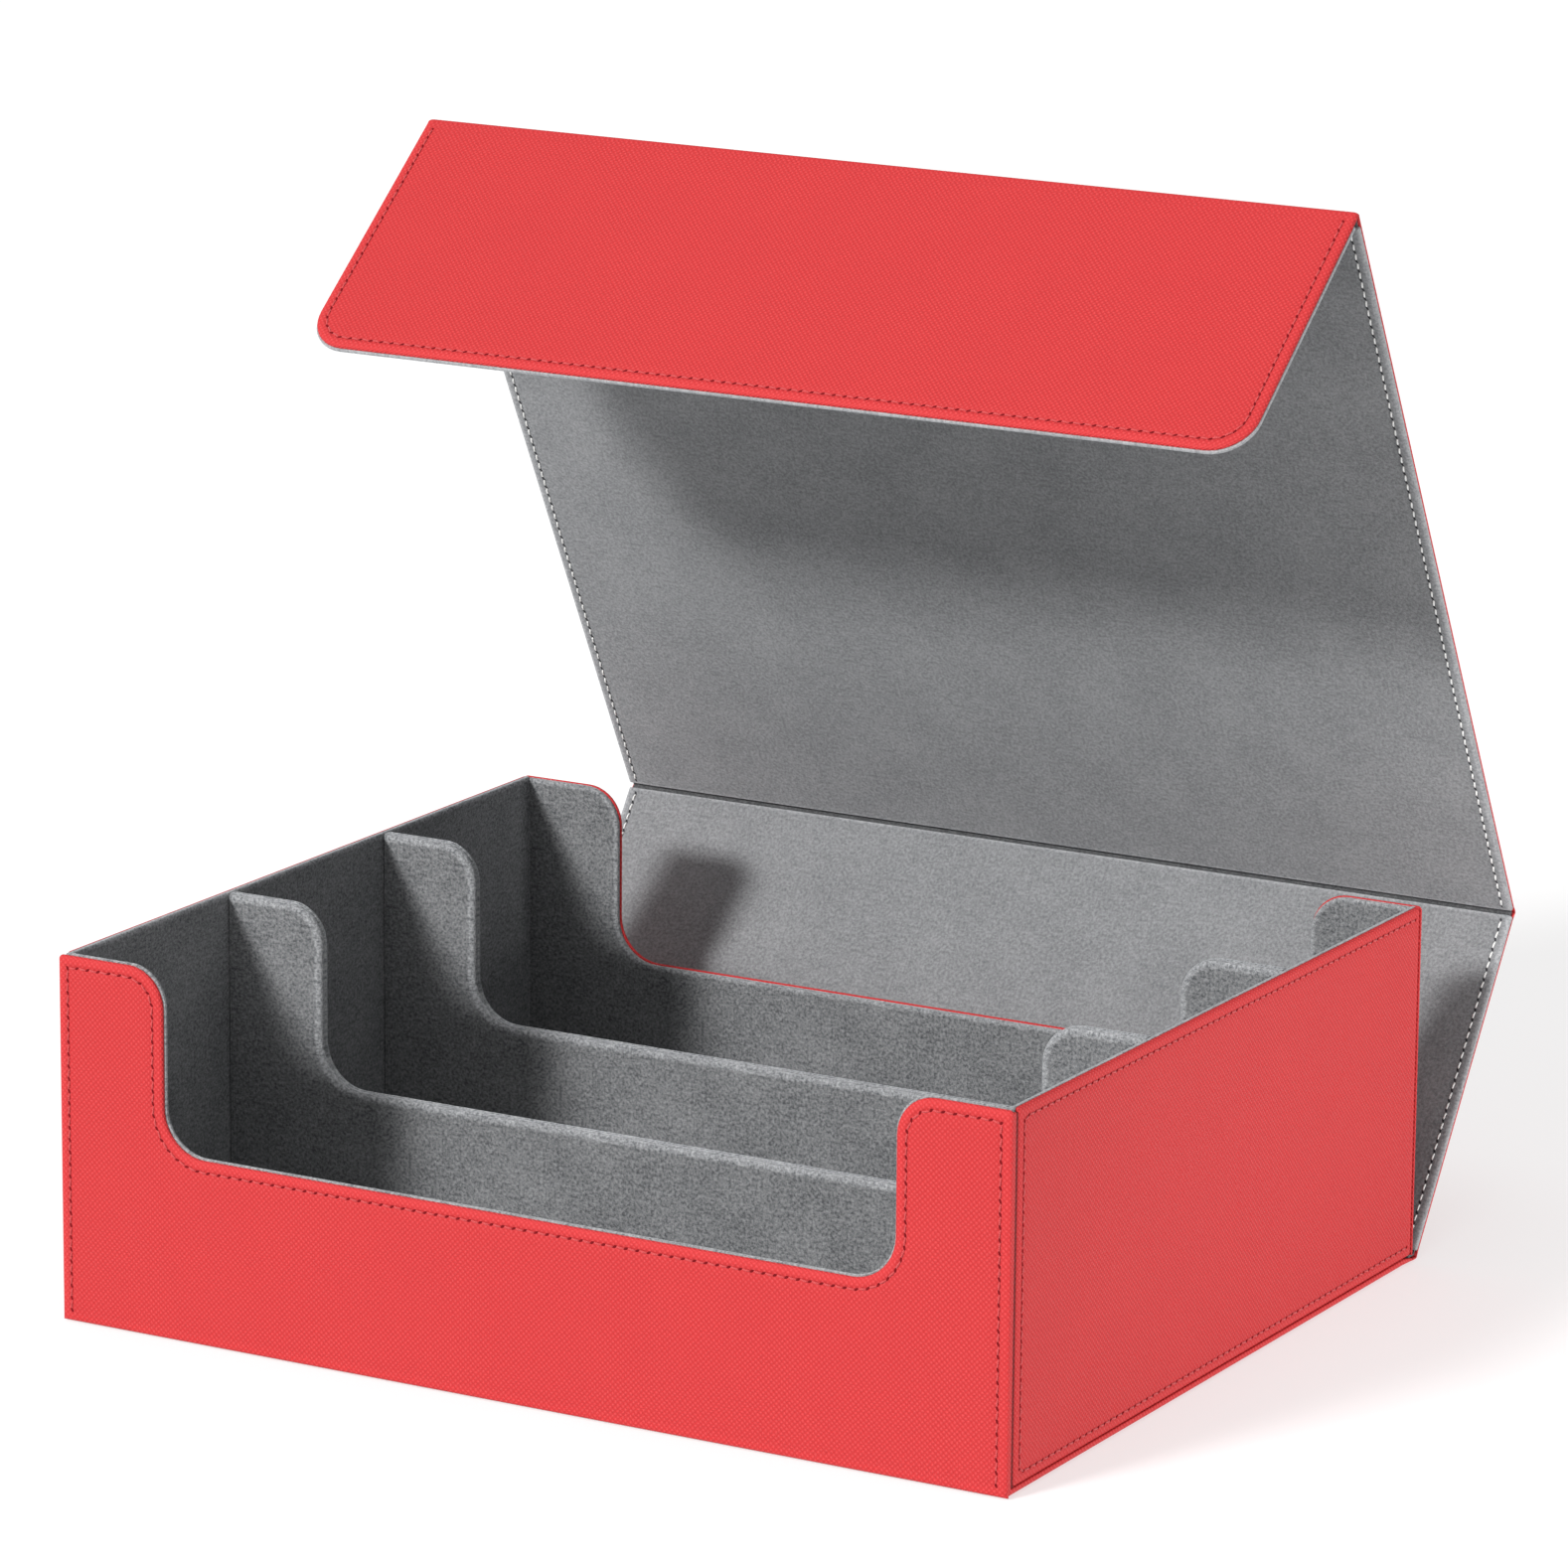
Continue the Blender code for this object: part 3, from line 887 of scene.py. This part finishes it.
def build_front_panel():
    """The front panel, with the turned edges at its two ends and, behind them, dark strips of painted shade
    in the corner gaps.
    """
    place = facing_front(FRONT)
    corners = cut_out_corners(HALF, FRONT_LOW, HEIGHT)
    outside = plate("front_panel_leather", corners, leather_profile(), place, red_leather, -1)
    finish_piece(outside, "tray", "red_leather", "front_panel_skin", "front_panel_board")
    back = cut_out_corners(HALF - FRONT_LINING_MARGIN, WALL_LOW, HEIGHT + VELVET_PROUD, VELVET_PROUD, 0)
    inner = facing_front(FRONT_INSIDE)
    inside = plate("front_panel_velvet", back, velvet_profile(PANEL_LINING), inner, row_velvet)
    finish_piece(inside, "tray", "grey_velvet", "front_panel_lining")
    for name, side in SIDES:
        build_corner_strip(f"front_panel_{name}_turned_edge", side, TURNED_EDGE, red_leather)
        build_corner_strip(f"{name}_corner_shade_strip", side, CORNER_SHADE_STRIP, joint_shade_leather)
    sew("front_panel", "tray", seam_lines(corners), place, -THREAD_DEPTH, 1, RED_PITCH, RED_SEAM)


def build_corner_strip(name, side, strip, look):
    place = facing_side(side, side * (HALF - strip.sink))
    low, high = side_span(side, strip.front, strip.rear)
    corners = plain_corners(low, strip.low, high, HEIGHT - strip.drop, strip.rim, UNSEWN)
    piece = plate(name, corners, strip_profile(strip.thickness, strip.rim), place, look, -1)
    finish_piece(piece, "tray", "red_leather")


def build_side_walls():
    """Each wall's seam runs along its bottom, front and top. Its lining tucks in behind its neighbours'."""
    for name, side in SIDES:
        place = facing_side(side, side * HALF)
        low, high = side_span(side, FRONT_INSIDE + CORNER_GAP, REAR - LEATHER - WALL_REAR_GAP)
        sewn = (1, side < 0, 1, side > 0)
        corners = plain_corners(low, WALL_LOW, high, HEIGHT, WALL_RADIUS, sewn)
        outside = plate(f"{name}_wall_leather", corners, leather_profile(), place, red_leather, -1)
        finish_piece(outside, "tray", "red_leather", f"{name}_wall_skin", f"{name}_wall_board")
        inner = facing_side(side, side * SIDE_INSIDE)
        low, high = side_span(side, FRONT_INSIDE - LINING_TUCK_FRONT, REAR_INSIDE + LINING_TUCK_REAR)
        back = plain_corners(low, WALL_LOW, high, HEIGHT + WALL_LINING_RISE, WALL_LINING_RADIUS, UNSEWN)
        inside = plate(f"{name}_wall_velvet", back, velvet_profile(WALL_LINING), inner, row_velvet)
        finish_piece(inside, "tray", "grey_velvet", f"{name}_wall_lining")
        lines = seam_lines(corners)
        sew(f"{name}_wall", "tray", lines, place, -THREAD_DEPTH, 1, RED_PITCH, RED_SEAM)


def build_rear_wall():
    """Its seam follows only the cut-out, so the shut cover's own stitches have room behind its sides."""
    place = facing_front(REAR)
    corners = cut_out_corners(HALF, WALL_LOW, HEIGHT)
    right_side, right_top, left_top, left_side = 1, 2, 6, 7
    for n in (right_side, right_top, left_top, left_side):
        x, y, radius, _, rim = corners[n]
        corners[n] = (x, y, radius, 0, rim)
    outside = plate("rear_wall_leather", corners, leather_profile(), place, red_leather)
    finish_piece(outside, "tray", "red_leather", "rear_wall_skin", "rear_wall_board")
    half = SIDE_INSIDE + LINING_TUCK_REAR
    back = cut_out_corners(half, WALL_LOW, HEIGHT - REAR_LINING_DROP, -REAR_SET_BACK, 0)
    inner = facing_front(REAR_INSIDE)
    inside = plate("rear_wall_velvet", back, velvet_profile(WALL_LINING), inner, row_velvet, -1)
    finish_piece(inside, "tray", "grey_velvet", "rear_wall_lining")
    sew("rear_wall", "tray", seam_lines(corners), place, THREAD_DEPTH, -1, RED_PITCH, RED_SEAM)


def build_dividers():
    """Two soft velvet halves with a groove between them, where the board's edge is covered."""
    floor = box_span("front_row_floor", 2)[0]
    right_side, right_top, left_side = 1, 2, 7
    rims = ((right_side, DIVIDER_SIDE_RIM), (right_top, 1), (left_side, DIVIDER_SIDE_RIM))
    for name in ("front_divider", "rear_divider"):
        front = box_span(f"{name}_front_velvet", 1)[0]
        rear = box_span(f"{name}_rear_velvet", 1)[1]
        half_thickness = (rear - front) / 2
        corners = cut_out_corners(SIDE_INSIDE - DIVIDER_GAP, floor, HEIGHT, 0, 0)
        for n, rim in rims:
            corners[n] = (*corners[n][:2], 0, 0, rim)
        profile = sheet_profile(half_thickness + JOIN, PAD_RIM)
        near = plate(f"{name}_front_velvet_pad", corners, profile, facing_front(front), row_velvet, -1)
        finish_piece(near, "tray", "grey_velvet", f"{name}_front_velvet", f"{name}_board")
        far = plate(f"{name}_rear_velvet_pad", corners, profile, facing_front(rear), row_velvet)
        finish_piece(far, "tray", "grey_velvet", f"{name}_rear_velvet")


def build_floor():
    """Velvet over the floor of each row, and the board under all of them."""
    for name in ("front", "middle", "rear"):
        low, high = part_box(f"{name}_row_floor")
        corners = plain_corners(low.x, low.y, high.x, high.y, FLOOR_RADIUS, UNSEWN)
        profile = velvet_profile(high.z - low.z + FLOOR_OVERLAP)
        place = Matrix.Translation((0, 0, high.z))
        pad = plate(f"{name}_row_velvet", corners, profile, place, row_velvet, -1)
        finish_piece(pad, "tray", "grey_velvet", f"{name}_row_floor")
    low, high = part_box("tray_floor_board")
    corners = plain_corners(low.x, low.y, high.x, high.y, FLOOR_RADIUS, UNSEWN)
    profile = sheet_profile(high.z - low.z, BOARD_RIM)
    board = plate("tray_floor", corners, profile, Matrix.Translation((0, 0, high.z)), crease_shade_and_board_velvet, -1)
    finish_piece(board, "tray", "grey_board", "tray_floor_board")


# ---- the cover

BACK = Panel("rear_hinge", "back_panel_board", "back_panel_skin")
LID = Panel("lid_hinge", "lid_board", "lid_skin")
FLAP = Panel("flap_hinge", "flap_board", "flap_skin")
BACK_LENGTH = (JOINTS["lid_hinge"] - JOINTS["rear_hinge"]).length
LID_LENGTH = (JOINTS["flap_hinge"] - JOINTS["lid_hinge"]).length
MIDDLE = PANEL / 2


class Bottom:
    """The bottom panel in the same form as a Panel, measured towards the rear from the rear hinge."""
    normal = Vector((0, 0, 1))
    along = Vector((0, 1, 0))

    @staticmethod
    def point(distance, depth=0.0):
        hinge = JOINTS["rear_hinge"]
        return Vector((0, hinge.y + distance, hinge.z + depth))


def flat_stations(panel, distances, total, sewn=1.0, dips=None):
    """Stations along a flat stretch of the cover's outside. The leather is thinner where it dips."""
    found = []
    for n, distance in enumerate(distances):
        dip = dips[n] * MM if dips else 0.0
        thickness = 1.0 - THINNING * min(1.0, dip / THINNED_DIP)
        point = panel.point(distance, dip - MIDDLE)
        found.append((point, -panel.normal, thickness, sewn * (dip == 0), total + distance))
    return found


def fold_stations(axis, before, after, total, share=FOLD_SHARE, first=1):
    """Stations round a fold's axis, from one panel's outward normal to the next's."""
    angle = before.angle(after)
    found = []
    for step in range(first, FOLD_STEPS):
        outward = Matrix.Rotation(angle * step / FOLD_STEPS, 3, "X") @ -before
        distance = total + MIDDLE * angle * (step / FOLD_STEPS - 0.5)
        found.append((axis + outward * MIDDLE, outward, share, 0.0, distance))
    return found


def channel_stations(panel, length, total, ends):
    """Stations of the shallow channel beside a fold: before it (ends True) or after it."""
    distances = [size * MM for size, _ in CHANNEL]
    dips = [dip for _, dip in CHANNEL]
    if ends:
        return flat_stations(panel, [length - distance for distance in distances], total, 1.0, dips)
    return flat_stations(panel, distances[::-1], total, 1.0, dips[::-1])


def bottom_stations():
    """Stations under the box, as thick as the bottom panel and thinner towards the rear fold."""
    hinge = JOINTS["rear_hinge"]
    front = FRONT_INSIDE - BOTTOM_FRONT_GAP - hinge.y
    thick = BOTTOM_TOP / LEATHER
    found = []
    for distance, share in ((front, thick), (BOTTOM_FULL, thick), *BOTTOM_THINNING):
        found.append((Bottom.point(distance, -hinge.z), -Bottom.normal, share, 0.0, distance))
    return found


def cover_leather(name, stations, bodies, start, end, *nodes):
    """A ribbon of the cover's leather, fixed in place; bodies, start and end are not used."""
    piece = ribbon(name, stations, HALF, leather_profile(), red_leather)
    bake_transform(piece)
    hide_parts(*nodes)


def build_cover_leather():
    """Four ribbons, each from the middle of a panel or a fold's edge to the next."""
    half_back = BACK_LENGTH / 2
    half_lid = LID_LENGTH / 2
    to_lid = BACK_LENGTH
    to_flap = BACK_LENGTH + LID_LENGTH

    stations = bottom_stations()
    stations += fold_stations(BACK.origin, Bottom.normal, BACK.normal, 0.0, first=0)
    stations += channel_stations(BACK, BACK_LENGTH, 0.0, False)
    stations += flat_stations(BACK, [half_back], 0.0)
    axis = BACK.origin
    cover_leather("cover_leather_bottom_to_back", stations, ("tray", "back_panel"),
                  axis - Bottom.along * BEND_REACH, axis + BACK.along * BEND_REACH,
                  "bottom_panel_skin", "bottom_panel_board", "rear_fold")

    stations = flat_stations(BACK, [half_back], 0.0)
    stations += channel_stations(BACK, BACK_LENGTH, 0.0, True)
    stations += fold_stations(LID.origin, BACK.normal, LID.normal, to_lid)
    stations += channel_stations(LID, LID_LENGTH, to_lid, False)
    stations += flat_stations(LID, [half_lid], to_lid)
    axis = LID.origin
    cover_leather("cover_leather_back_to_lid", stations, ("back_panel", "lid"),
                  axis - BACK.along * BEND_REACH, axis + LID.along * BEND_REACH,
                  "back_panel_skin", "back_panel_board", "lid_fold")

    stations = flat_stations(LID, [half_lid, LID_LENGTH - LID_SEAM_END], to_lid)
    stations += flat_stations(LID, [LID_LENGTH - LID_FLAT_END, LID_LENGTH], to_lid, 0.0)
    axis = FLAP.origin
    cover_leather("cover_leather_lid_to_flap_fold", stations, ("lid", "flap_fold"),
                  axis - LID.along * BEND_REACH, axis, "lid_skin", "lid_board")

    point = axis - LID.normal * MIDDLE
    stations = [(point, -LID.normal, 1.0, 0.0, to_flap)]
    stations += fold_stations(axis, LID.normal, FLAP.normal, to_flap, FLAP_FOLD_SHARE)
    stations += flat_stations(FLAP, [FLAP_FIRST, FLAP_START], to_flap, 0.0)
    cover_leather("cover_leather_flap_fold", stations, ("flap_fold", "flap"),
                  point, axis - FLAP.normal * MIDDLE, "flap_fold")


def sew_side_edges(name, body, panel, reach, inset, depth, facing, kind):
    """Straight seams along a cover panel's two sides, from reach[0] to reach[1] along the panel."""
    lines = [[(side * (HALF - inset), distance) for distance in reach] for _, side in SIDES]
    sew(name, body, lines, panel.place(), depth, facing, GREY_PITCH, kind)


def flap_corners(half, start, end, start_radius, start_rim):
    """The flap's outline, with its two free corners rounded."""
    return [
        (-half, start, start_radius, 0, start_rim),
        (half, start, start_radius, 1, 1),
        (half, end, FLAP_RADIUS, 1, 1),
        (-half, end, FLAP_RADIUS, 1, 1),
    ]


def build_flap_leather():
    corners = flap_corners(HALF, FLAP_START, FLAP.length, 0, 0)
    place = FLAP.place(-MIDDLE)
    outside = plate("flap_leather", corners, leather_profile(), place, red_leather)
    finish_piece(outside, "flap", "red_leather", "flap_skin", "flap_board")
    sew("flap", "flap", seam_lines(corners), place, THREAD_DEPTH, -1, RED_PITCH, RED_SEAM)


def build_cover_linings():
    """The linings of the back panel, the lid and the flap, with the seams of the panels' two faces."""
    profile = velvet_profile(PANEL_LINING, VELVET_SEAM_DIP)
    panels = (
        ("back_panel", BACK, BACK_LENGTH, LINING_GAP),
        ("lid", LID, LID_LENGTH, FLAP_LINING_GAP),
    )
    for body, panel, length, gap in panels:
        end = length - gap
        corners = plain_corners(-HALF, LINING_GAP, HALF, end, LINING_RADIUS, (0, 1, 0, 1),
                                (LINING_FOLD_RIM, 1, LINING_FOLD_RIM, 1))
        inside = plate(f"{body}_velvet", corners, profile, panel.place(MIDDLE), lining_velvet, -1)
        finish_piece(inside, body, "grey_velvet", f"{body}_lining")
        reach = (INNER_SEAM_START, end - INNER_SEAM_END)
        sew_side_edges(f"{body}_inner", body, panel, reach, SEAM - INNER_SEAM_SHIFT,
                       MIDDLE - VELVET_THREAD_DEPTH, 1, GREY_SEAM)
        reach = (OUTER_SEAM_END, length - OUTER_SEAM_END)
        sew_side_edges(f"{body}_outer", body, panel, reach, SEAM, THREAD_DEPTH - MIDDLE, -1, RED_SEAM)
    half = HALF + FLAP_LINING_PROUD
    corners = flap_corners(half, FLAP_LINING_GAP, FLAP.length + VELVET_PROUD, FLAP_LINING_RADIUS, 1)
    place = FLAP.place(MIDDLE)
    inside = plate("flap_velvet", corners, profile, place, lining_velvet, -1)
    finish_piece(inside, "flap", "grey_velvet", "flap_lining")
    lines = seam_lines(corners)
    sew("flap_inner", "flap", lines, place, -VELVET_THREAD_DEPTH, 1, RED_PITCH, GREY_SEAM)


def build_creases():
    """Velvet at the bottom of the creases between the linings, dark with painted shade."""
    folds = (
        ("rear_crease", Bottom, BACK, "tray", "back_panel", 0.0),
        ("lid_crease", BACK, LID, "back_panel", "lid", BACK_LENGTH),
        ("flap_crease", LID, FLAP, "flap_fold", "flap", LID_LENGTH),
    )
    for name, before, after, body, next_body, length in folds:
        axis = after.origin
        stations = []
        for distance in reversed(CREASE_STEPS):
            point = before.point(length - distance, CREASE_DEPTH)
            stations.append((point, before.normal, 1.0, 0.0, -distance))
        middle = (before.normal + after.normal).normalized()
        stations.append((axis + middle * CREASE_MIDDLE, middle, 1.0, 0.0, 0.0))
        for distance in CREASE_STEPS:
            stations.append((after.point(distance, CREASE_DEPTH), after.normal, 1.0, 0.0, distance))
        profile = strip_profile(CREASE_THICKNESS, CREASE_RIM)
        strip = ribbon(name, stations, HALF - CREASE_MARGIN, profile, crease_shade_and_board_velvet)
        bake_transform(strip)


def finish_magnets():
    """The magnets keep their CAD solids."""
    for name, obj in frame["nodes"].items():
        if "magnet" in name:
            obj.data.materials.clear()
            obj.data.materials.append(magnet_steel)


# ---- stage, light and camera

def build_floor_stage():
    mesh = bpy.data.meshes.new("studio_floor")
    size = FLOOR_SIZE
    corners = [(-size, -size, 0), (size, -size, 0), (size, size, 0), (-size, size, 0)]
    mesh.from_pydata(corners, [], [(0, 1, 2, 3)])
    made = Nodes("studio_floor")
    made.set(Base_Color=FLOOR_GREY, Roughness=0.9, Specular_IOR_Level=0.1)
    made.set(Emission_Color=WHITE, Emission_Strength=FLOOR_GLOW)
    floor = new_object("studio_floor", mesh, made.material)
    floor.location.z = -FLOOR_DROP


def build_world():
    """A white tent: softer near the horizon and brighter overhead."""
    world = bpy.data.worlds.new("studio")
    world.use_nodes = True
    tree = world.node_tree
    background = tree.nodes["Background"]
    place = tree.nodes.new("ShaderNodeTexCoord")
    split = tree.nodes.new("ShaderNodeSeparateXYZ")
    band = tree.nodes.new("ShaderNodeMapRange")
    band.interpolation_type = "SMOOTHSTEP"
    tree.links.new(place.outputs["Generated"], split.inputs[0])
    tree.links.new(split.outputs["Z"], band.inputs["Value"])
    set_range(band, *HORIZON_BAND, HORIZON_STRENGTH, SKY_STRENGTH)
    background.inputs["Color"].default_value = WHITE
    tree.links.new(band.outputs["Result"], background.inputs["Strength"])
    bpy.context.scene.world = world


def aimed(name, data, place, target):
    """A light or a camera at a place, looking at the target."""
    obj = bpy.data.objects.new(name, data)
    bpy.context.scene.collection.objects.link(obj)
    obj.location = place
    obj.rotation_euler = (Vector(target) - Vector(place)).to_track_quat("-Z", "Y").to_euler()
    return obj


def sun(name, power, angle, direction):
    light = bpy.data.lights.new(name, "SUN")
    light.energy = power
    light.angle = math.radians(angle)
    aimed(name, light, direction, (0, 0, 0))


def build_lights():
    """A soft key from the front left in three parts, a weak light from above, and one low on the right."""
    for n, turn in enumerate(KEY_TURNS):
        direction = Matrix.Rotation(math.radians(turn), 3, "Z") @ Vector(KEY_DIRECTION)
        sun(f"key_softbox_{n}", KEY_POWER / len(KEY_TURNS), KEY_ANGLE, direction * 2)
    sun("top_softbox", TOP_POWER, TOP_ANGLE, TOP_PLACE)
    side = bpy.data.lights.new("low_side_softbox", "AREA")
    side.shape = "RECTANGLE"
    side.size, side.size_y = SIDE_SIZE
    side.spread = math.radians(SIDE_SPREAD)
    side.energy = SIDE_POWER
    aimed("low_side_softbox", side, SIDE_PLACE, SIDE_TARGET)


def build_camera():
    data = bpy.data.cameras.new("camera")
    data.sensor_width = CAMERA_SENSOR
    data.lens = CAMERA_LENS
    data.clip_end = CAMERA_CLIP
    camera = aimed("camera", data, CAMERA_PLACE, Vector(CAMERA_PLACE) + Vector(CAMERA_FORWARD))
    camera.rotation_euler.rotate_axis("Z", math.radians(CAMERA_ROLL))
    bpy.context.scene.camera = camera


build_camera()
build_front_panel()
build_side_walls()
build_rear_wall()
build_dividers()
build_floor()
build_cover_leather()
build_flap_leather()
build_cover_linings()
build_creases()
finish_magnets()
build_floor_stage()
build_world()
build_lights()
bpy.context.scene.view_settings.view_transform = "Standard"
